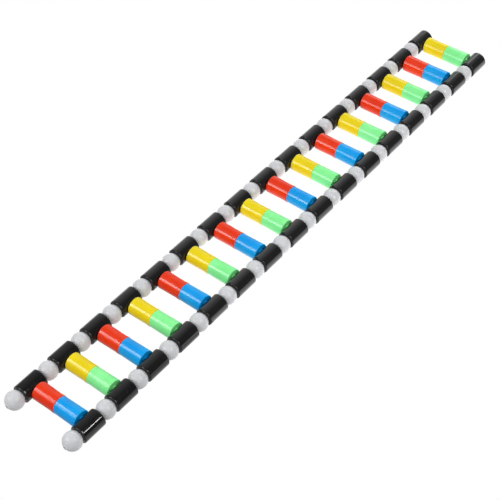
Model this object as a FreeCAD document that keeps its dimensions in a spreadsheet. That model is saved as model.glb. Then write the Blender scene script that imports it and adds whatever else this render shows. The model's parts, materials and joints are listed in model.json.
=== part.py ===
import FreeCAD, Part
import os

import Sketcher

# A flat, plug-together ladder that twists into a double helix.  X runs from the left rail to
# the right rail, Y along the ladder from its first rung to its last, Z up.  Each rail is a
# row of black tubes with a white ball between each two, and each rung is two coloured half
# rungs that meet at the seam on the centre line.  The origin is under the middle of the
# ladder, on the surface that its tubes and balls rest on.

Vector = FreeCAD.Vector
Rotation = FreeCAD.Rotation
X_AXIS = Vector(1, 0, 0)
Y_AXIS = Vector(0, 1, 0)
Z_AXIS = Vector(0, 0, 1)
Z_TO_PLUS_X = Rotation(Y_AXIS, 90)
Z_TO_PLUS_Y = Rotation(X_AXIS, -90)
HALF_TURN_ABOUT_Y = Rotation(Y_AXIS, 180)
HALF_TURN_ABOUT_Z = Rotation(Z_AXIS, 180)
NO_TURN = Rotation()

RUNGS = 16

DIMENSIONS = [
    ("pitch", 32.0, "rung to rung along the ladder"),
    ("rail_spacing", 54.2, "left tube axis to right tube axis"),
    ("tube_radius", 7.1, "outside of a rail tube"),
    ("tube_near_reach", 10.5, "rung axis to the end face that holds the tube's own ball"),
    ("tube_far_reach", 8.95, "rung axis to the end face with the link pin"),
    ("rim_chamfer", 0.5, "at both ends of a tube"),
    ("ball_radius", 7.1, "link ball"),
    ("seat_clearance", 0.05, "ball in the seat of its own tube"),
    ("stub_radius", 2.5, "ball's stub, pressed into its own tube"),
    ("stub_reach", 11.8, "ball centre to the end of the stub"),
    ("stub_bore_depth", 6.5, "from the tube's near end face"),
    ("fit_clearance", 0.05, "radial, for every peg, stub and seam pin in its hole"),
    ("pin_radius", 0.6, "link pin at the far end of a tube"),
    ("pin_engagement", 4.0, "link pin inside the next ball"),
    ("pin_hole_radius", 1.1, "hole in the ball, wide enough for the pin to swing"),
    ("pin_hole_depth", 5.0, "from the ball's near pole"),
    ("collar_radius", 1.8, "flat collar around the ball's pin hole"),
    ("collar_height", 0.1, "collar proud of the ball"),
    ("relief_radius", 2.8, "pocket in the tube's far end that the collar moves in"),
    ("relief_depth", 0.5, "from the tube's far end face"),
    ("half_rung_outer_radius", 7.1, "half rung at its tube end"),
    ("half_rung_seam_radius", 6.8, "half rung at the seam, narrower by the mould's draft"),
    ("seam_lip_radius", 7.0, "lip at the seam of the half that holds the seam pins"),
    ("seam_lip_width", 2.5, "along the half rung"),
    ("half_rung_gap", 0.15, "half rung to the tube's nearest line"),
    ("half_rung_chamfer", 0.4, "at the outer end of a half rung"),
    ("peg_radius", 3.0, "half rung's peg, the axis that the tube tilts on"),
    ("peg_engagement", 5.0, "peg past the tube's nearest line"),
    ("peg_hole_depth", 5.3, "from the tube's nearest line"),
    ("seam_pin_radius", 1.2, "pins that key a pair of half rungs"),
    ("seam_pin_length", 4.0, "proud of the seam face"),
    ("seam_pin_spacing", 3.6, "in a row across the seam face"),
    ("seam_hole_depth", 4.3, "from the seam face"),
    ("overcut", 1.0, "how far a cut or a joined rod runs past the face it starts from"),
]

doc = FreeCAD.newDocument("twisting_ladder")
sheet = doc.addObject("Spreadsheet::Sheet", "Sizes")
for line, (alias, value, note) in enumerate(DIMENSIONS, start=1):
    sheet.set(f"A{line}", note)
    sheet.set(f"B{line}", str(value))
    sheet.setAlias(f"B{line}", alias)
doc.recompute()

# Expressions shared by several features.
BALL_OFFSET = "Sizes.pitch / 2"
HALF_RUNG_LENGTH = "Sizes.rail_spacing / 2 - Sizes.tube_radius - Sizes.half_rung_gap"
PIN_TIP = "Sizes.pitch / 2 - Sizes.ball_radius + Sizes.pin_engagement"
BALL_POLE = "Sizes.ball_radius + Sizes.collar_height"
# The ladder reaches from the first balls' collars to the last tubes' link pins.
FIRST_RUNG_Y = (f"({BALL_OFFSET} + {BALL_POLE} - ({PIN_TIP})"
                f" - {RUNGS - 1} * Sizes.pitch) / 2")


def bind(feature, **expressions):
    """Bind properties to the sheet; a double underscore stands for a dot."""
    for name, expression in expressions.items():
        feature.setExpression(name.replace("__", "."), expression)


def new_body(label):
    body = doc.addObject("PartDesign::Body", label)
    body.Label = label
    return body


def origin_feature(body, role):
    return next(item for item in body.Origin.OriginFeatures if item.Role == role)


def circle_sketch(body, name, role, radius, offset="0", across="0"):
    """A circle on one of the body's own planes, moved out by offset and across by across."""
    sketch = body.newObject("Sketcher::SketchObject", name)
    sketch.AttachmentSupport = [(origin_feature(body, role), "")]
    sketch.MapMode = "FlatFace"
    sketch.addGeometry(Part.Circle(Vector(0, 0, 0), Vector(0, 0, 1), 1.0))
    sketch.addConstraint(Sketcher.Constraint("Coincident", 0, 3, -1, 1))
    radius_row = sketch.addConstraint(Sketcher.Constraint("Radius", 0, 1.0))
    sketch.setExpression(f"Constraints[{radius_row}]", radius)
    bind(sketch, AttachmentOffset__Base__z=offset, AttachmentOffset__Base__y=across)
    return sketch


def pad(body, name, sketch, length, reverse=False):
    feature = body.newObject("PartDesign::Pad", name)
    feature.Profile = sketch
    feature.Reversed = reverse
    bind(feature, Length=length)
    return feature


def pocket(body, name, sketch, depth, reverse=False):
    feature = body.newObject("PartDesign::Pocket", name)
    feature.Profile = sketch
    feature.Reversed = reverse
    bind(feature, Length=depth)
    return feature


def rod_along_y(body, name, kind, radius, start, end):
    """A cylinder feature, Additive or Subtractive, on the Y axis from start to end."""
    feature = body.newObject(f"PartDesign::{kind}Cylinder", name)
    feature.Placement = FreeCAD.Placement(Vector(), Z_TO_PLUS_Y)
    bind(feature, Radius=radius, Height=f"({end}) - ({start})", Placement__Base__y=start)
    return feature


def sphere_on_y(body, name, kind, radius, centre):
    feature = body.newObject(f"PartDesign::{kind}Sphere", name)
    bind(feature, Radius=radius, Placement__Base__y=centre)
    return feature


def round_edges(shape, axis, place):
    """Names of the circular edges that lie in the plane axis = place."""
    names = []
    for number, edge in enumerate(shape.Edges, start=1):
        is_circle = edge.Curve.TypeId == "Part::GeomCircle"
        if is_circle and abs(edge.Curve.Center.dot(axis) - place) < 1e-6:
            names.append(f"Edge{number}")
    return names


def chamfer(body, name, base, edges, size):
    feature = body.newObject("PartDesign::Chamfer", name)
    feature.Base = (base, edges)
    bind(feature, Size=size)
    return feature


def make_tube():
    """A rail tube along Y, its rung's axis at the origin and its peg hole on the +X side."""
    body = new_body("rail_tube")
    barrel = rod_along_y(body, "tube_barrel", "Additive", "Sizes.tube_radius",
                         "-Sizes.tube_near_reach", "Sizes.tube_far_reach")
    doc.recompute()
    box = barrel.Shape.BoundBox
    rims = round_edges(barrel.Shape, Y_AXIS, box.YMin) + round_edges(barrel.Shape, Y_AXIS, box.YMax)
    chamfer(body, "tube_rims", barrel, rims, "Sizes.rim_chamfer")
    sphere_on_y(body, "own_ball_seat", "Subtractive",
                "Sizes.ball_radius + Sizes.seat_clearance", f"-({BALL_OFFSET})")
    rod_along_y(body, "stub_bore", "Subtractive", "Sizes.stub_radius + Sizes.fit_clearance",
                "-Sizes.tube_near_reach - Sizes.overcut",
                "-Sizes.tube_near_reach + Sizes.stub_bore_depth")
    pocket_floor = "Sizes.tube_far_reach - Sizes.relief_depth"
    rod_along_y(body, "collar_relief", "Subtractive", "Sizes.relief_radius",
                pocket_floor, "Sizes.tube_far_reach + Sizes.overcut")
    rod_along_y(body, "link_pin", "Additive", "Sizes.pin_radius",
                f"{pocket_floor} - Sizes.overcut", PIN_TIP)
    peg_hole = circle_sketch(body, "peg_hole_outline", "YZ_Plane",
                             "Sizes.peg_radius + Sizes.fit_clearance", "Sizes.tube_radius")
    pocket(body, "peg_hole", peg_hole, "Sizes.peg_hole_depth")
    return body


def make_ball():
    """A link ball at the origin: stub towards its own tube (+Y), collar and pin hole at -Y."""
    body = new_body("link_ball")
    sphere_on_y(body, "ball_sphere", "Additive", "Sizes.ball_radius", "0")
    rod_along_y(body, "ball_stub", "Additive", "Sizes.stub_radius", "0", "Sizes.stub_reach")
    rod_along_y(body, "ball_collar", "Additive", "Sizes.collar_radius", f"-({BALL_POLE})", "0")
    rod_along_y(body, "pin_hole", "Subtractive", "Sizes.pin_hole_radius",
                f"-({BALL_POLE}) - Sizes.overcut", "Sizes.pin_hole_depth - Sizes.ball_radius")
    return body


def row_across_seam(body, first, count):
    """Repeat a pin or a hole along Z, a seam spacing apart."""
    row = body.newObject("PartDesign::LinearPattern", first.Name + "_row")
    row.Originals = [first]
    row.Direction = (origin_feature(body, "Z_Axis"), [""])
    row.Occurrences = count
    bind(row, Length=f"Sizes.seam_pin_spacing * {count - 1}")
    body.Tip = row


def make_half_rung(label, count, keyed_with):
    """A half rung along +X from its seam face at the origin, with its tube peg at the end."""
    body = new_body(label)
    barrel = body.newObject("PartDesign::AdditiveCone", label + "_barrel")
    barrel.Placement = FreeCAD.Placement(Vector(), Z_TO_PLUS_X)
    bind(barrel, Radius1="Sizes.half_rung_seam_radius", Radius2="Sizes.half_rung_outer_radius",
         Height=HALF_RUNG_LENGTH)
    doc.recompute()
    rim = round_edges(barrel.Shape, X_AXIS, barrel.Shape.BoundBox.XMax)
    chamfer(body, label + "_rim", barrel, rim, "Sizes.half_rung_chamfer")
    peg = circle_sketch(body, label + "_peg_outline", "YZ_Plane", "Sizes.peg_radius", HALF_RUNG_LENGTH)
    pad(body, label + "_peg", peg, "Sizes.half_rung_gap + Sizes.peg_engagement")
    lowest = f"-Sizes.seam_pin_spacing * {(count - 1) / 2}"
    if keyed_with == "pins":
        spot = circle_sketch(body, label + "_pin_outline", "YZ_Plane",
                             "Sizes.seam_pin_radius", across=lowest)
        first = pad(body, label + "_pin", spot, "Sizes.seam_pin_length", reverse=True)
    else:
        lip = circle_sketch(body, label + "_lip_outline", "YZ_Plane", "Sizes.seam_lip_radius")
        pad(body, label + "_lip", lip, "Sizes.seam_lip_width")
        spot = circle_sketch(body, label + "_hole_outline", "YZ_Plane",
                             "Sizes.seam_pin_radius + Sizes.fit_clearance", across=lowest)
        first = pocket(body, label + "_hole", spot, "Sizes.seam_hole_depth", reverse=True)
    row_across_seam(body, first, count)
    return body


def copy_of(piece, name, turn, **places):
    """A linked copy of one moulded piece, turned and then moved by expressions."""
    link = doc.addObject("App::Link", name)
    link.LinkedObject = piece
    link.Placement = FreeCAD.Placement(Vector(), turn)
    bind(link, **places)
    return link


def assemble(name, index, members, x="0"):
    """A named sub-part at rung number index, made of linked copies of moulded pieces."""
    node = doc.addObject("Part::Compound", name)
    node.Label = name
    node.Links = members
    bind(node,
         Placement__Base__x=x,
         Placement__Base__y=f"{FIRST_RUNG_Y} + {index - 1} * Sizes.pitch",
         Placement__Base__z="Sizes.tube_radius")
    return node


tube = make_tube()
ball = make_ball()
half_rungs = {
    "red": make_half_rung("red_half_rung", 2, "holes"),
    "blue": make_half_rung("blue_half_rung", 2, "pins"),
    "yellow": make_half_rung("yellow_half_rung", 3, "holes"),
    "green": make_half_rung("green_half_rung", 3, "pins"),
}
COLOUR_PAIRS = [("red", "blue"), ("yellow", "green")]
RAILS = [
    ("left", "-Sizes.rail_spacing / 2", NO_TURN),
    ("right", "Sizes.rail_spacing / 2", HALF_TURN_ABOUT_Y),
]

nodes = []
for index in range(1, RUNGS + 1):
    left_colour, right_colour = COLOUR_PAIRS[(index - 1) % 2]
    halves = [
        copy_of(half_rungs[left_colour], f"rung_{index:02d}_left_half", HALF_TURN_ABOUT_Z),
        copy_of(half_rungs[right_colour], f"rung_{index:02d}_right_half", NO_TURN),
    ]
    nodes.append(assemble(f"rung_pair_{index:02d}", index, halves))
    for side, rail_x, turn in RAILS:
        members = [
            copy_of(tube, f"{side}_tube_{index:02d}", turn),
            copy_of(ball, f"{side}_ball_{index:02d}", NO_TURN, Placement__Base__y=f"-({BALL_OFFSET})"),
        ]
        nodes.append(assemble(f"{side}_link_{index:02d}", index, members, x=rail_x))

doc.recompute()

faults = [item.Label for item in doc.Objects if {"Invalid", "Error"} & set(item.State)]
for node in nodes:
    shape = node.Shape
    if shape.isNull() or not shape.isValid() or len(shape.Solids) != 2:
        faults.append(node.Label)
if faults:
    raise RuntimeError("failed objects: " + ", ".join(faults))

for piece in [tube, ball] + list(half_rungs.values()):
    print(f"{piece.Label}: {len(piece.Shape.Solids)} solid, {piece.Shape.Volume:.1f} mm3")
whole = Part.makeCompound([node.Shape for node in nodes]).BoundBox
print(f"whole: {whole.XLength:.2f} x {whole.YLength:.2f} x {whole.ZLength:.2f} mm,"
      f" y {whole.YMin:.2f} to {whole.YMax:.2f}, z from {whole.ZMin:.3f}")

os.makedirs("parts", exist_ok=True)
for node in nodes:
    node.Shape.exportStep(f"parts/{node.Label}.step")
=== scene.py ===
import json
import math

import bmesh
import bpy
from mathutils import Matrix, Vector


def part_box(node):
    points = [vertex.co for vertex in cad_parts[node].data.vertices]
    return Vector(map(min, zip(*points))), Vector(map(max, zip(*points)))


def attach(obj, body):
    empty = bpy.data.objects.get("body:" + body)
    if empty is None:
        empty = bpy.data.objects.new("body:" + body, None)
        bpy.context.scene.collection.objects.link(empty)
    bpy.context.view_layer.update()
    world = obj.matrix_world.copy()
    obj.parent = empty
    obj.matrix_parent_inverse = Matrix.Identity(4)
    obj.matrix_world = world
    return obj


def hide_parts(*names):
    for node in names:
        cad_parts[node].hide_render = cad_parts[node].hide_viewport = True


# The looks of a plug-together ladder that twists into a double helix.  Each rail is a row of
# glossy black tubes with a milky white ball between each two, and each rung is two coloured
# half rungs.  The 96 pieces are lathed from their real profiles, cut and keyed as they are
# moulded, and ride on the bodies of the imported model.

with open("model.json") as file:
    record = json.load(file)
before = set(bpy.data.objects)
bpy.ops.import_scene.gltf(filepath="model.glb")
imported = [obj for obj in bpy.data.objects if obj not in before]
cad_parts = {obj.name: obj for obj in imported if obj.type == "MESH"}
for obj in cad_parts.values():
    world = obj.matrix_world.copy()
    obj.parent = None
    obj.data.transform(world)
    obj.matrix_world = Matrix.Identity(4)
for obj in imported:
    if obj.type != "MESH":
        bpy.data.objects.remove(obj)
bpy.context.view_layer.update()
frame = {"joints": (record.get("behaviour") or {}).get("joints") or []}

MM = 0.001
Y_AXIS = Vector((0, 1, 0))
Z_AXIS = Vector((0, 0, 1))

# Places, from the frame: each tilt joint lies where a rung's axis meets a rail's.
joint_places = {joint["name"]: Vector(joint["pos_m"]) for joint in frame["joints"]}
RUNGS = sum(name.startswith("left_tilt_") for name in joint_places)
RUNG_NUMBERS = range(1, RUNGS + 1)
rail_places = {
    side: [joint_places[f"{side}_tilt_{index:02d}"] for index in RUNG_NUMBERS]
    for side in ("left", "right")
}
PITCH = rail_places["left"][1].y - rail_places["left"][0].y
RAIL_X = rail_places["right"][0].x
AXIS_HEIGHT = rail_places["left"][0].z
link_low, link_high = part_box("left_link_01")
TUBE_RADIUS = (link_high.x - link_low.x) / 2
BALL_RADIUS = TUBE_RADIUS

# Fits: each plug, and the hole that takes it.
FIT_GAP = 0.05 * MM
SEAT_RADIUS = BALL_RADIUS + FIT_GAP
STUB_RADIUS = 2.5 * MM
BORE_RADIUS = STUB_RADIUS + FIT_GAP
PEG_RADIUS = 3.0 * MM
PEG_HOLE_RADIUS = PEG_RADIUS + FIT_GAP
SEAM_PIN_RADIUS = 1.2 * MM
SEAM_HOLE_RADIUS = SEAM_PIN_RADIUS + FIT_GAP

# Tube, measured along the rail from its rung's axis.
TUBE_NEAR = 10.5 * MM
TUBE_FAR = 8.95 * MM
TUBE_RIM = 0.8 * MM
BORE_DEPTH = 6.5 * MM
RELIEF_RADIUS = 2.8 * MM
RELIEF_DEPTH = 0.5 * MM
LINK_PIN_RADIUS = 0.6 * MM
LINK_PIN_INSIDE_BALL = 4 * MM
LINK_PIN_TIP = PITCH / 2 - BALL_RADIUS + LINK_PIN_INSIDE_BALL
PEG_HOLE_DEPTH = 5.3 * MM
GATE_RADIUS = 0.9 * MM
GATE_NUB_RADIUS = 0.4 * MM
GATE_DEPTH = 0.15 * MM
GATE_ALONG = 1.2 * MM
GATE_ANGLE = math.radians(41)

# Ball, and the rounded tip of its stub and of the half rungs' pegs.
TIP_RIM = 0.5 * MM
STUB_TIP = 11.8 * MM
COLLAR_RADIUS = 1.8 * MM
COLLAR_HEIGHT = 0.1 * MM
PIN_HOLE_RADIUS = 1.1 * MM
PIN_HOLE_DEPTH = 5 * MM

# Half rung, measured from the seam.
OUTER_RADIUS = 7.1 * MM
SEAM_RADIUS = 6.8 * MM
LIP_RADIUS = 7.0 * MM
LIP_WIDTH = 2.5 * MM
TUBE_GAP = 0.15 * MM
HALF_LENGTH = RAIL_X - TUBE_RADIUS - TUBE_GAP
OUTER_RIM = 0.4 * MM
SEAM_RIM = 0.15 * MM
PEG_LENGTH = 5.15 * MM
PEG_TIP = HALF_LENGTH + PEG_LENGTH
SEAM_PIN_LENGTH = 4 * MM
SEAM_PIN_SPACING = 3.6 * MM
SEAM_HOLE_DEPTH = 4.3 * MM

# Parting lines: how far a line stands out, and its share of that at each angle in degrees from
# its middle.  A line fades in over the outer part of a piece, so that plugs and bores have none.
PARTING_HEIGHT = 0.02 * MM
PARTING_STEPS = ((0.5, 0.8), (1.3, 0.0))
PARTING_FADE_START = 0.6
PARTING_FADE_RATE = 5
TOP_AND_BOTTOM = (0, 180)
BOTH_SIDES = (90, 270)

# The small radius on the edges of holes and lips, and in the corners at the plugs' roots.
SMALL_EDGE = 0.12 * MM

# Mesh density: the steps in each kind of arc, and round each piece.
SMALL_STEPS = 3
TIP_STEPS = 4
PIN_TIP_STEPS = 5
ARC_STEPS = 6
TUBE_RIM_STEPS = 8
SPHERE_STEPS = 32
SEGMENTS = 72
FINE_SEGMENTS = 40
RING_SPACING = 1 * MM

# How deep a joined pin starts inside its piece, and how near two points have to be to merge.
ROOT_INSIDE = 1 * MM
WELD_DISTANCE = 0.001 * MM

# Edges are shaded sharp from the first angle on, and wear grows between the other two.
SHARP_ANGLE = math.radians(38)
UNWORN_ANGLE = math.radians(8)
FULLY_WORN_ANGLE = math.radians(20)


# Profiles: lists of (along the axis, radius) points.

def arc(along, radius, size, start, end, steps=ARC_STEPS):
    """Points on a circle of that size about (along, radius), from one angle to another."""
    turns = [math.radians(start + (end - start) * step / steps) for step in range(steps + 1)]
    return [(along + size * math.cos(turn), radius + size * math.sin(turn)) for turn in turns]


def run(start, end, spacing=RING_SPACING):
    """Points between start and end, no further apart than spacing, without the ends."""
    steps = max(1, math.ceil(math.dist(start, end) / spacing))
    return [
        tuple(a + (b - a) * step / steps for a, b in zip(start, end)) for step in range(1, steps)
    ]


def tube_profile():
    """From the floor of the stub's bore, out through the ball's seat, to the link pin's tip."""
    near, far = -TUBE_NEAR, TUBE_FAR
    seat_centre = -PITCH / 2
    seat_inner = math.degrees(math.asin(BORE_RADIUS / SEAT_RADIUS))
    seat_outer = math.degrees(math.acos((near + SMALL_EDGE - seat_centre) / SEAT_RADIUS))
    seat_mouth = math.sqrt(SEAT_RADIUS ** 2 - (near - seat_centre) ** 2)
    near_rim = arc(near + TUBE_RIM, TUBE_RADIUS - TUBE_RIM, TUBE_RIM, 180, 90, TUBE_RIM_STEPS)
    far_rim = arc(far - TUBE_RIM, TUBE_RADIUS - TUBE_RIM, TUBE_RIM, 90, 0, TUBE_RIM_STEPS)
    relief_floor = far - RELIEF_DEPTH
    pin_rim = LINK_PIN_RADIUS / 2
    return (
        [(near + BORE_DEPTH, 0), (near + BORE_DEPTH, BORE_RADIUS)]
        + arc(seat_centre, 0, SEAT_RADIUS, seat_inner, seat_outer)
        + [(near, seat_mouth + SMALL_EDGE)]
        + run((near, seat_mouth + SMALL_EDGE), near_rim[0])
        + near_rim
        + run(near_rim[-1], far_rim[0])
        + far_rim
        + run(far_rim[-1], (far, RELIEF_RADIUS + SMALL_EDGE))
        + arc(far - SMALL_EDGE, RELIEF_RADIUS + SMALL_EDGE, SMALL_EDGE, 0, -90, SMALL_STEPS)
        + [(relief_floor, RELIEF_RADIUS)]
        + arc(relief_floor + SMALL_EDGE, LINK_PIN_RADIUS + SMALL_EDGE, SMALL_EDGE, 180, 270, SMALL_STEPS)
        + arc(LINK_PIN_TIP - pin_rim, pin_rim, pin_rim, 90, 0, PIN_TIP_STEPS)
        + [(LINK_PIN_TIP, 0)]
    )


def ball_profile():
    """From the floor of the pin hole, round the collar and the sphere, to the stub's tip."""
    face = -BALL_RADIUS - COLLAR_HEIGHT
    hole_floor = PIN_HOLE_DEPTH - BALL_RADIUS
    collar_root = 180 - math.degrees(math.asin((COLLAR_RADIUS + SMALL_EDGE) / BALL_RADIUS))
    stub_root = math.degrees(math.asin((STUB_RADIUS + SMALL_EDGE) / BALL_RADIUS))
    return (
        [(hole_floor, 0), (hole_floor, PIN_HOLE_RADIUS)]
        + arc(face + SMALL_EDGE, PIN_HOLE_RADIUS + SMALL_EDGE, SMALL_EDGE, 270, 180, SMALL_STEPS)
        + arc(face + SMALL_EDGE, COLLAR_RADIUS - SMALL_EDGE, SMALL_EDGE, 180, 90, SMALL_STEPS)
        + arc(0, 0, BALL_RADIUS, collar_root, stub_root, SPHERE_STEPS)
        + [(BALL_RADIUS, STUB_RADIUS)]
        + arc(STUB_TIP - TIP_RIM, STUB_RADIUS - TIP_RIM, TIP_RIM, 90, 0, TIP_STEPS)
        + [(STUB_TIP, 0)]
    )


def half_rung_profile(has_lip):
    """From the middle of the seam face, out along the drafted barrel, to the peg's tip."""
    slope = (OUTER_RADIUS - SEAM_RADIUS) / HALF_LENGTH
    seam_radius = LIP_RADIUS if has_lip else SEAM_RADIUS
    seam_rim = arc(SEAM_RIM, seam_radius - SEAM_RIM, SEAM_RIM, 180, 90, TIP_STEPS)
    outer_radius = OUTER_RADIUS - slope * OUTER_RIM
    outer_rim = arc(HALF_LENGTH - OUTER_RIM, outer_radius - OUTER_RIM, OUTER_RIM, 90, 0)
    barrel_start = seam_rim[-1]
    lip = []
    if has_lip:
        lip_end = (LIP_WIDTH - SMALL_EDGE, LIP_RADIUS)
        barrel_start = (LIP_WIDTH + SMALL_EDGE / 2, SEAM_RADIUS + slope * LIP_WIDTH)
        lip = run(seam_rim[-1], lip_end)
        lip += arc(LIP_WIDTH - SMALL_EDGE, LIP_RADIUS - SMALL_EDGE, SMALL_EDGE, 90, 20, SMALL_STEPS)
        lip += [barrel_start]
    return (
        [(0, 0)]
        + run((0, 0), seam_rim[0], 2 * RING_SPACING)
        + seam_rim
        + lip
        + run(barrel_start, outer_rim[0])
        + outer_rim
        + run(outer_rim[-1], (HALF_LENGTH, PEG_RADIUS + SMALL_EDGE))
        + arc(HALF_LENGTH + SMALL_EDGE, PEG_RADIUS + SMALL_EDGE, SMALL_EDGE, 180, 270, SMALL_STEPS)
        + arc(PEG_TIP - TIP_RIM, PEG_RADIUS - TIP_RIM, TIP_RIM, 90, 0, TIP_STEPS)
        + [(PEG_TIP, 0)]
    )


# Meshes.

def turn_angles(segments, parting):
    """Angles round a lathed piece, closer together beside its parting line on two sides."""
    angles = {360 * step / segments: 0.0 for step in range(segments)}
    for side in parting:
        angles[side] = 1.0
        for step, nearness in PARTING_STEPS:
            angles[side - step] = nearness
            angles[side + step] = nearness
    return sorted(angles.items())


def lathe(name, profile, segments=SEGMENTS, parting=()):
    """A closed mesh: the profile turned about the Y axis, with a fine parting line."""
    widest = max(radius for _, radius in profile)
    turns = turn_angles(segments, parting)
    mesh_data = bmesh.new()
    rings = []
    for along, radius in profile:
        if radius == 0:
            rings.append([mesh_data.verts.new((0, along, 0))])
            continue
        fade = (radius / widest - PARTING_FADE_START) * PARTING_FADE_RATE
        outer_share = min(1.0, max(0.0, fade))
        ring = []
        for angle, nearness in turns:
            reach = radius - PARTING_HEIGHT * (1 - nearness) * outer_share
            turn = math.radians(angle)
            ring.append(mesh_data.verts.new((reach * math.sin(turn), along, reach * math.cos(turn))))
        rings.append(ring)
    for near, far in zip(rings, rings[1:]):
        for here in range(len(turns)):
            there = (here + 1) % len(turns)
            if len(near) == 1:
                corners = [near[0], far[here], far[there]]
            elif len(far) == 1:
                corners = [near[here], far[0], near[there]]
            else:
                corners = [near[here], far[here], far[there], near[there]]
            mesh_data.faces.new(corners)
    bmesh.ops.recalc_face_normals(mesh_data, faces=mesh_data.faces)
    mesh = bpy.data.meshes.new(name)
    mesh_data.to_mesh(mesh)
    mesh_data.free()
    return mesh


def combine(mesh, operation, tools):
    """The mesh after cutting (DIFFERENCE) or joining (UNION) each tool, a (mesh, place) pair."""
    piece = bpy.data.objects.new("workpiece", mesh)
    bpy.context.scene.collection.objects.link(piece)
    helpers = []
    for tool_mesh, place in tools:
        helper = bpy.data.objects.new("tool", tool_mesh)
        helper.matrix_world = place
        bpy.context.scene.collection.objects.link(helper)
        modifier = piece.modifiers.new("combine", "BOOLEAN")
        modifier.operation = operation
        modifier.solver = "EXACT"
        modifier.object = helper
        helpers.append(helper)
    graph = bpy.context.evaluated_depsgraph_get()
    result = bpy.data.meshes.new_from_object(piece.evaluated_get(graph))
    result.name = mesh.name + "_finished"
    for item in helpers + [piece]:
        bpy.data.objects.remove(item)
    return result


def rod(name, radius, start, end):
    """A rod along Y with rounded ends."""
    edge = radius / 4
    profile = (
        [(start, 0)]
        + arc(start + edge, radius - edge, edge, 180, 90, SMALL_STEPS)
        + arc(end - edge, radius - edge, edge, 90, 0, SMALL_STEPS)
        + [(end, 0)]
    )
    return lathe(name, profile, FINE_SEGMENTS)


def gate_cutter():
    """A flat ring with its open middle, which leaves the gate's nub standing."""
    outline = [
        (-GATE_DEPTH, GATE_NUB_RADIUS),
        (-GATE_DEPTH, GATE_RADIUS),
        (GATE_DEPTH, GATE_RADIUS),
        (GATE_DEPTH, GATE_NUB_RADIUS),
        (-GATE_DEPTH, GATE_NUB_RADIUS),
    ]
    mesh = lathe("gate_cutter", outline, FINE_SEGMENTS)
    loose = bmesh.new()
    loose.from_mesh(mesh)
    bmesh.ops.remove_doubles(loose, verts=loose.verts, dist=WELD_DISTANCE)
    bmesh.ops.recalc_face_normals(loose, faces=loose.faces)
    loose.to_mesh(mesh)
    loose.free()
    return mesh


def mark_edges(mesh):
    """Store how sharply each point stands out, as the attribute that wear follows."""
    mesh_data = bmesh.new()
    mesh_data.from_mesh(mesh)
    values = []
    for vert in mesh_data.verts:
        angles = [edge.calc_face_angle_signed(0.0) for edge in vert.link_edges if edge.is_manifold]
        standing = max(angles, default=0.0)
        wear = (standing - UNWORN_ANGLE) / (FULLY_WORN_ANGLE - UNWORN_ANGLE)
        values.append(min(1.0, max(0.0, wear)))
    mesh_data.free()
    layer = mesh.attributes.new("edge_wear", "FLOAT", "POINT")
    layer.data.foreach_set("value", values)


def finished(mesh):
    """The mesh with smooth shading, its really sharp edges kept, and its wear stored."""
    mesh.polygons.foreach_set("use_smooth", [True] * len(mesh.polygons))
    mesh.set_sharp_from_angle(angle=SHARP_ANGLE)
    mark_edges(mesh)
    return mesh


def tube_mesh():
    """A rail tube with its peg hole towards +X and its gate mark on the outside, low down."""
    barrel = lathe("tube", tube_profile(), parting=TOP_AND_BOTTOM)
    peg_hole = rod("peg_hole", PEG_HOLE_RADIUS, TUBE_RADIUS - PEG_HOLE_DEPTH, 2 * TUBE_RADIUS)
    to_plus_x = Matrix.Rotation(-math.pi / 2, 4, "Z")
    gate_place = (
        Matrix.Rotation(-GATE_ANGLE, 4, "Y")
        @ Matrix.Translation((-TUBE_RADIUS, GATE_ALONG, 0))
        @ Matrix.Rotation(math.pi / 2, 4, "Z")
    )
    cutters = [(peg_hole, to_plus_x), (gate_cutter(), gate_place)]
    return finished(combine(barrel, "DIFFERENCE", cutters))


def half_rung_mesh(name, count, keyed_with):
    """A half rung along +Y from its seam, keyed by a row of pins or holes along Z."""
    has_lip = keyed_with == "holes"
    barrel = lathe(name, half_rung_profile(has_lip), parting=BOTH_SIDES)
    if has_lip:
        key = rod("seam_hole", SEAM_HOLE_RADIUS, -SEAM_HOLE_DEPTH, SEAM_HOLE_DEPTH)
        operation = "DIFFERENCE"
    else:
        key = rod("seam_pin", SEAM_PIN_RADIUS, -SEAM_PIN_LENGTH, ROOT_INSIDE)
        operation = "UNION"
    first = -SEAM_PIN_SPACING * (count - 1) / 2
    places = [Matrix.Translation((0, 0, first + SEAM_PIN_SPACING * step)) for step in range(count)]
    return finished(combine(barrel, operation, [(key, place) for place in places]))


# Materials.

# The scale of each noise, in features to the metre.
FLOW_SCALE = 70
MOTTLE_SCALE = 900
RUB_SCALE = 380
HAIR_SCALE = 130
HAZE_SCALE = 160
WAVE_SCALE = 70
GRAIN_SCALE = 2600

# Hairlines are noise that is finer on two axes, so that it runs along the ladder or across it.
HAIRS_ALONG = (14, 1, 9)
HAIRS_ACROSS = (1, 13, 10)

# How much each trace changes the colour and the roughness.
FLOW_SHARE = 0.7
MOTTLE_SHARE = 0.3
RUB_COLOUR = 0.55
RUB_ROUGHNESS = 0.15
HAIR_ROUGHNESS = 0.03
HAZE_BELOW = 0.02
HAZE_ABOVE = 0.03

# How strongly each trace bends the surface, and the depth that it stands for.
WAVE_STRENGTH = 0.05
WAVE_DEPTH = 0.25 * MM
GRAIN_STRENGTH = 0.05
GRAIN_DEPTH = 0.01 * MM
HAIR_STRENGTH = -0.08
HAIR_DEPTH = 0.01 * MM

# How far light travels inside a milky plastic.
MILK_DEPTH = 1.5 * MM

# The Mix node has sockets of the same name for each kind of data: these are the colours.
MIX_FIRST_COLOUR = 6
MIX_SECOND_COLOUR = 7
MIX_COLOUR_RESULT = 2


def link(tree, source, target):
    """Join one node's output to another node's input."""
    tree.links.new(source, target)


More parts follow.
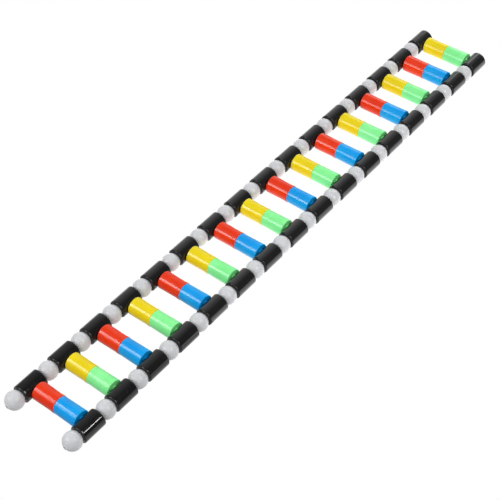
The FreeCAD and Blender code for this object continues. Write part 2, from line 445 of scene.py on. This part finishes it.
def add_noise(tree, coordinates, scale, detail, stretch=None):
    """A noise texture's value, over coordinates that may be stretched first."""
    if stretch:
        mapping = tree.nodes.new("ShaderNodeMapping")
        mapping.inputs["Scale"].default_value = stretch
        link(tree, coordinates, mapping.inputs["Vector"])
        coordinates = mapping.outputs["Vector"]
    noise = tree.nodes.new("ShaderNodeTexNoise")
    noise.inputs["Scale"].default_value = scale
    noise.inputs["Detail"].default_value = detail
    link(tree, coordinates, noise.inputs["Vector"])
    return noise.outputs["Fac"]


def remap(tree, value, low, high, new_low=0.0, new_high=1.0):
    """The value with low to high stretched to new_low to new_high, and held there beyond."""
    node = tree.nodes.new("ShaderNodeMapRange")
    node.inputs["From Min"].default_value = low
    node.inputs["From Max"].default_value = high
    node.inputs["To Min"].default_value = new_low
    node.inputs["To Max"].default_value = new_high
    link(tree, value, node.inputs["Value"])
    return node.outputs["Result"]


def combine_values(tree, operation, first, second):
    """A Math node's result, from first and second, each a socket or a number."""
    node = tree.nodes.new("ShaderNodeMath")
    node.operation = operation
    for socket, value in zip(node.inputs, (first, second)):
        if isinstance(value, (int, float)):
            socket.default_value = value
        else:
            link(tree, value, socket)
    return node.outputs["Value"]


def mix_colour(tree, factor, first, second):
    """A colour between first and second, each a socket or an (r, g, b)."""
    node = tree.nodes.new("ShaderNodeMix")
    node.data_type = "RGBA"
    link(tree, factor, node.inputs["Factor"])
    sockets = (node.inputs[MIX_FIRST_COLOUR], node.inputs[MIX_SECOND_COLOUR])
    for socket, value in zip(sockets, (first, second)):
        if isinstance(value, tuple):
            socket.default_value = (*value, 1.0)
        else:
            link(tree, value, socket)
    return node.outputs[MIX_COLOUR_RESULT]


def add_bump(tree, height, strength, distance, previous=None):
    """A bumped normal, over the previous one if there is one."""
    node = tree.nodes.new("ShaderNodeBump")
    node.inputs["Strength"].default_value = strength
    node.inputs["Distance"].default_value = distance
    link(tree, height, node.inputs["Height"])
    if previous:
        link(tree, previous, node.inputs["Normal"])
    return node.outputs["Normal"]


def moulded_plastic(name, colour, deep, worn, roughness, shine=0.5, milkiness=0.0):
    """Glossy moulded plastic: flow marks, fine mottle, rubbed edges, hairlines and a slight wave."""
    material = bpy.data.materials.new(name)
    material.use_nodes = True
    tree = material.node_tree
    shader = tree.nodes["Principled BSDF"]
    coordinates = tree.nodes.new("ShaderNodeTexCoord").outputs["Object"]

    flow_noise = add_noise(tree, coordinates, FLOW_SCALE, detail=3)
    mottle_noise = add_noise(tree, coordinates, MOTTLE_SCALE, detail=3)
    flow = remap(tree, flow_noise, low=0.36, high=0.66)
    mottle = remap(tree, mottle_noise, low=0.35, high=0.65)
    flow_part = combine_values(tree, "MULTIPLY", flow, FLOW_SHARE)
    mottle_part = combine_values(tree, "MULTIPLY", mottle, MOTTLE_SHARE)
    depth = combine_values(tree, "ADD", flow_part, mottle_part)
    body_colour = mix_colour(tree, depth, colour, deep)

    edge = tree.nodes.new("ShaderNodeAttribute")
    edge.attribute_name = "edge_wear"
    rub_noise = add_noise(tree, coordinates, RUB_SCALE, detail=4)
    patches = remap(tree, rub_noise, low=0.42, high=0.62)
    rubbed = combine_values(tree, "MULTIPLY", edge.outputs["Fac"], patches)
    rubbed_colour = combine_values(tree, "MULTIPLY", rubbed, RUB_COLOUR)
    link(tree, mix_colour(tree, rubbed_colour, body_colour, worn), shader.inputs["Base Color"])

    noise_along = add_noise(tree, coordinates, HAIR_SCALE, detail=2, stretch=HAIRS_ALONG)
    noise_across = add_noise(tree, coordinates, HAIR_SCALE, detail=2, stretch=HAIRS_ACROSS)
    hairs_along = remap(tree, noise_along, low=0.68, high=0.76)
    hairs_across = remap(tree, noise_across, low=0.69, high=0.77)
    hairs = combine_values(tree, "MAXIMUM", hairs_along, hairs_across)
    haze_noise = add_noise(tree, coordinates, HAZE_SCALE, detail=3)
    haze = remap(tree, haze_noise, low=0.35, high=0.7,
                 new_low=roughness - HAZE_BELOW, new_high=roughness + HAZE_ABOVE)
    hair_part = combine_values(tree, "MULTIPLY", hairs, HAIR_ROUGHNESS)
    rubbed_part = combine_values(tree, "MULTIPLY", rubbed, RUB_ROUGHNESS)
    scuffed = combine_values(tree, "ADD", haze, hair_part)
    link(tree, combine_values(tree, "ADD", scuffed, rubbed_part), shader.inputs["Roughness"])

    wave_height = add_noise(tree, coordinates, WAVE_SCALE, detail=1)
    grain_height = add_noise(tree, coordinates, GRAIN_SCALE, detail=2)
    wave = add_bump(tree, wave_height, WAVE_STRENGTH, WAVE_DEPTH)
    grain = add_bump(tree, grain_height, GRAIN_STRENGTH, GRAIN_DEPTH, wave)
    scratched = add_bump(tree, hairs, HAIR_STRENGTH, HAIR_DEPTH, grain)
    link(tree, scratched, shader.inputs["Normal"])

    shader.inputs["Specular IOR Level"].default_value = shine
    if milkiness:
        shader.inputs["Subsurface Weight"].default_value = milkiness
        shader.inputs["Subsurface Radius"].default_value = (1.0, 1.0, 1.0)
        shader.inputs["Subsurface Scale"].default_value = MILK_DEPTH
    return material


# The coloured half rungs share one finish.
RUNG_ROUGHNESS = 0.19
RUNG_SHINE = 0.24

plastics = {
    "black": moulded_plastic(
        "black_plastic",
        colour=(0.009, 0.009, 0.009),
        deep=(0.006, 0.006, 0.0065),
        worn=(0.05, 0.05, 0.05),
        roughness=0.09,
    ),
    "white": moulded_plastic(
        "white_plastic",
        colour=(0.68, 0.69, 0.71),
        deep=(0.63, 0.64, 0.66),
        worn=(0.70, 0.71, 0.72),
        roughness=0.24,
        shine=0.35,
        milkiness=0.15,
    ),
    "red": moulded_plastic(
        "red_plastic",
        colour=(0.85, 0.045, 0.006),
        deep=(0.76, 0.028, 0.004),
        worn=(0.90, 0.12, 0.05),
        roughness=RUNG_ROUGHNESS,
        shine=RUNG_SHINE,
    ),
    "blue": moulded_plastic(
        "blue_plastic",
        colour=(0.003, 0.38, 0.88),
        deep=(0.002, 0.30, 0.80),
        worn=(0.06, 0.50, 0.95),
        roughness=RUNG_ROUGHNESS,
        shine=RUNG_SHINE,
    ),
    "yellow": moulded_plastic(
        "yellow_plastic",
        colour=(0.89, 0.73, 0.007),
        deep=(0.83, 0.64, 0.004),
        worn=(0.95, 0.82, 0.10),
        roughness=RUNG_ROUGHNESS,
        shine=RUNG_SHINE,
    ),
    "green": moulded_plastic(
        "green_plastic",
        colour=(0.30, 1.0, 0.36),
        deep=(0.22, 0.90, 0.28),
        worn=(0.45, 1.0, 0.50),
        roughness=RUNG_ROUGHNESS,
        shine=RUNG_SHINE,
    ),
}


# Pieces.

def add_piece(name, mesh, place, colour, body, node):
    """A copy of a moulded piece, at its place at rest, in its plastic, on its body."""
    own_mesh = mesh.copy()
    own_mesh.name = name
    own_mesh.transform(place)
    own_mesh.materials.clear()
    own_mesh.materials.append(plastics[colour])
    piece = bpy.data.objects.new(name, own_mesh)
    bpy.context.scene.collection.objects.link(piece)
    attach(piece, body)
    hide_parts(node)


def add_links():
    """Each rail's tubes and balls: the right rail's tubes are turned half round."""
    tube = tube_mesh()
    ball = finished(lathe("ball", ball_profile(), parting=TOP_AND_BOTTOM))
    turns = {"left": Matrix.Identity(4), "right": Matrix.Rotation(math.pi, 4, "Y")}
    for side, places in rail_places.items():
        for index, place in zip(RUNG_NUMBERS, places):
            body = f"{side}_link_body_{index:02d}"
            node = f"{side}_link_{index:02d}"
            at_rung = Matrix.Translation(place)
            at_ball = Matrix.Translation(place - Y_AXIS * PITCH / 2)
            add_piece(f"{side}_tube_{index:02d}", tube, at_rung @ turns[side], "black", body, node)
            add_piece(f"{side}_ball_{index:02d}", ball, at_ball, "white", body, node)


def add_half_rungs():
    """Each rung's two halves, red with blue and yellow with green in turn."""
    meshes = {
        "red": half_rung_mesh("red_half", 2, "holes"),
        "blue": half_rung_mesh("blue_half", 2, "pins"),
        "yellow": half_rung_mesh("yellow_half", 3, "holes"),
        "green": half_rung_mesh("green_half", 3, "pins"),
    }
    colour_pairs = [("red", "blue"), ("yellow", "green")]
    turns = {
        "left": Matrix.Rotation(math.pi / 2, 4, "Z"),
        "right": Matrix.Rotation(-math.pi / 2, 4, "Z"),
    }
    for index, place in zip(RUNG_NUMBERS, rail_places["left"]):
        seam = Matrix.Translation((0, place.y, place.z))
        for side, colour in zip(("left", "right"), colour_pairs[(index - 1) % 2]):
            add_piece(f"{side}_half_rung_{index:02d}", meshes[colour], seam @ turns[side],
                      colour, f"rung_{index:02d}", f"rung_pair_{index:02d}")


# Studio.

FLOOR_HEIGHT = -0.04
FLOOR_BOUNCE_CENTRE = Vector((0, 0.2, FLOOR_HEIGHT / 2))
BACKDROP_RADIUS = 6.0
BACKDROP_CURVE = 2.0
BACKDROP_CURVE_STEPS = 12
BACKDROP_TOP = 6.0

# The room's brightness: on the walls at the horizon, 30 degrees up and overhead; at the back on
# its left and its right, with its share of that where the back begins; and on the floor.
HORIZON_LEVEL = 0.32
UPPER_WALL_LEVEL = 0.42
OVERHEAD_LEVEL = 0.95
BACK_LEFT_LEVEL = 1.05
BACK_RIGHT_LEVEL = 0.20
BACK_EDGE_SHARE = 0.25
FLOOR_FRONT_LEVEL = 0.45
FLOOR_BACK_LEVEL = 0.92

# The camera: its angles in degrees, its distance from its target and the target's place in
# pitches of the rungs, its sensor and lens in millimetres, and what it sees between in metres.
CAMERA_AZIMUTH = 40.08
CAMERA_ELEVATION = 46.21
CAMERA_ROLL = -2.07
CAMERA_DISTANCE = 29.075
TARGET_RIGHT_OF_MIDDLE = 0.368
TARGET_BEYOND_FIRST_RUNG = 5.924
CAMERA_SENSOR = 36
CAMERA_LENS = 89.64
CAMERA_CLIP_START = 0.01
CAMERA_CLIP_END = 50


def add_backdrop():
    """A plain pale floor that curves up into a wall all round."""
    curve = arc(FLOOR_HEIGHT + BACKDROP_CURVE, BACKDROP_RADIUS - BACKDROP_CURVE,
                BACKDROP_CURVE, 180, 90, BACKDROP_CURVE_STEPS)
    mesh = lathe("backdrop", [(FLOOR_HEIGHT, 0)] + curve + [(BACKDROP_TOP, BACKDROP_RADIUS)])
    mesh.transform(Matrix.Rotation(math.pi / 2, 4, "X"))
    mesh.polygons.foreach_set("use_smooth", [True] * len(mesh.polygons))
    material = bpy.data.materials.new("pale_backdrop")
    material.use_nodes = True
    shader = material.node_tree.nodes["Principled BSDF"]
    shader.inputs["Base Color"].default_value = (0, 0, 0, 1)
    shader.inputs["Specular IOR Level"].default_value = 0
    shader.inputs["Emission Color"].default_value = (1, 1, 1, 1)
    shader.inputs["Emission Strength"].default_value = 1.0
    mesh.materials.append(material)
    backdrop = bpy.data.objects.new("backdrop", mesh)
    bpy.context.scene.collection.objects.link(backdrop)
    backdrop.visible_diffuse = False
    backdrop.visible_glossy = False
    backdrop.visible_transmission = False
    backdrop.visible_shadow = False


def add_surroundings():
    """A dim room, lighter overhead, bright at the back on the left, with the pale floor below."""
    world = bpy.data.worlds.new("studio_room")
    world.use_nodes = True
    tree = world.node_tree
    direction = tree.nodes.new("ShaderNodeTexCoord").outputs["Generated"]
    split = tree.nodes.new("ShaderNodeSeparateXYZ")
    link(tree, direction, split.inputs["Vector"])
    ramp = tree.nodes.new("ShaderNodeValToRGB")
    link(tree, split.outputs["Z"], ramp.inputs["Fac"])
    stops = ramp.color_ramp.elements
    for stop, level in zip(stops, (HORIZON_LEVEL, OVERHEAD_LEVEL)):
        stop.color = (level, level, level, 1)
    stops.new(0.5).color = (UPPER_WALL_LEVEL, UPPER_WALL_LEVEL, UPPER_WALL_LEVEL, 1)
    across = remap(tree, split.outputs["X"], low=-0.55, high=0.35,
                   new_low=BACK_LEFT_LEVEL, new_high=BACK_RIGHT_LEVEL)
    fade = remap(tree, split.outputs["Y"], low=0.34, high=0.50, new_low=BACK_EDGE_SHARE)
    back = combine_values(tree, "MULTIPLY", across, fade)
    at_back = remap(tree, split.outputs["Y"], low=-0.1, high=0.34)
    walls = mix_colour(tree, at_back, ramp.outputs["Color"], back)
    on_floor = remap(tree, split.outputs["Z"], low=0.0, high=-0.2)
    floor = remap(tree, split.outputs["Y"], low=-0.6, high=0.2,
                  new_low=FLOOR_FRONT_LEVEL, new_high=FLOOR_BACK_LEVEL)
    surroundings = mix_colour(tree, on_floor, walls, floor)
    link(tree, surroundings, tree.nodes["Background"].inputs["Color"])
    bpy.context.scene.world = world


def add_softbox(name, origin, direction, distance, width, height, radiance):
    """A rectangular soft light in that direction from origin, facing it, unseen by the camera."""
    light = bpy.data.lights.new(name, "AREA")
    light.shape = "RECTANGLE"
    light.size = width
    light.size_y = height
    light.energy = radiance * math.pi * width * height
    lamp = bpy.data.objects.new(name, light)
    towards = Vector(direction).normalized()
    lamp.matrix_world = (
        Matrix.Translation(origin + towards * distance)
        @ towards.to_track_quat("Z", "Y").to_matrix().to_4x4()
    )
    bpy.context.scene.collection.objects.link(lamp)
    lamp.visible_camera = False
    return lamp


def light_only(lamp, names):
    """Keep a lamp's light to the named pieces."""
    receivers = bpy.data.collections.new(f"{lamp.name}_receivers")
    for name in names:
        receivers.objects.link(bpy.data.objects[name])
    lamp.light_linking.receiver_collection = receivers


def add_camera():
    """The camera, by its direction from the ladder, its distance and its roll."""
    azimuth = math.radians(CAMERA_AZIMUTH)
    elevation = math.radians(CAMERA_ELEVATION)
    roll = math.radians(CAMERA_ROLL)
    target_x = TARGET_RIGHT_OF_MIDDLE * PITCH
    target_y = rail_places["left"][0].y + TARGET_BEYOND_FIRST_RUNG * PITCH
    target = Vector((target_x, target_y, AXIS_HEIGHT))
    back = Vector((math.sin(azimuth) * math.cos(elevation),
                   -math.cos(azimuth) * math.cos(elevation),
                   math.sin(elevation)))
    right = Z_AXIS.cross(back).normalized()
    up = back.cross(right)
    rolled_right = right * math.cos(roll) + up * math.sin(roll)
    rolled_up = up * math.cos(roll) - right * math.sin(roll)
    place = Matrix((rolled_right, rolled_up, back)).transposed().to_4x4()
    place.translation = target + back * (CAMERA_DISTANCE * PITCH)
    data = bpy.data.cameras.new("photo_camera")
    data.sensor_width = CAMERA_SENSOR
    data.lens = CAMERA_LENS
    data.clip_start = CAMERA_CLIP_START
    data.clip_end = CAMERA_CLIP_END
    camera = bpy.data.objects.new("photo_camera", data)
    camera.matrix_world = place
    bpy.context.scene.collection.objects.link(camera)
    bpy.context.scene.camera = camera


def add_lamps():
    """Four soft lights for everything, and two that light only some pieces."""
    near_left = rail_places["left"][0]
    near_right = rail_places["right"][0]
    middle = Vector()
    add_softbox("front_left_softbox", near_left, direction=(-0.41, -0.51, 0.60),
                distance=1.15, width=0.52, height=0.52, radiance=6.0)
    add_softbox("right_softbox", middle, direction=(0.65, 0.0, 0.76),
                distance=1.2, width=0.28, height=0.6, radiance=9.0)
    add_softbox("back_softbox", middle, direction=(-0.1, 0.92, 0.38),
                distance=1.15, width=0.8, height=0.5, radiance=2.0)
    add_softbox("floor_bounce", FLOOR_BOUNCE_CENTRE, direction=(0, 0, -1),
                distance=0.0, width=0.6, height=0.6, radiance=0.8)

    # A narrow highlight along the half rungs, as gloss only.
    glint = add_softbox("front_left_glint", middle, direction=(-0.44, -0.70, 0.56),
                        distance=0.6, width=0.06, height=0.2, radiance=15.0)
    glint.visible_diffuse = False
    half_rungs = [f"{side}_half_rung_{index:02d}" for side in rail_places for index in RUNG_NUMBERS]
    light_only(glint, half_rungs)

    # The hard white strip that only the nearest right tube shows.
    strip_light = add_softbox("right_strip_light", near_right, direction=(0.75, 0.361, 0.55),
                              distance=1.2, width=0.06, height=0.13, radiance=30.0)
    light_only(strip_light, ["right_tube_01"])


add_links()
add_half_rungs()
add_backdrop()
add_surroundings()
add_lamps()
add_camera()
bpy.context.scene.view_settings.view_transform = "Standard"
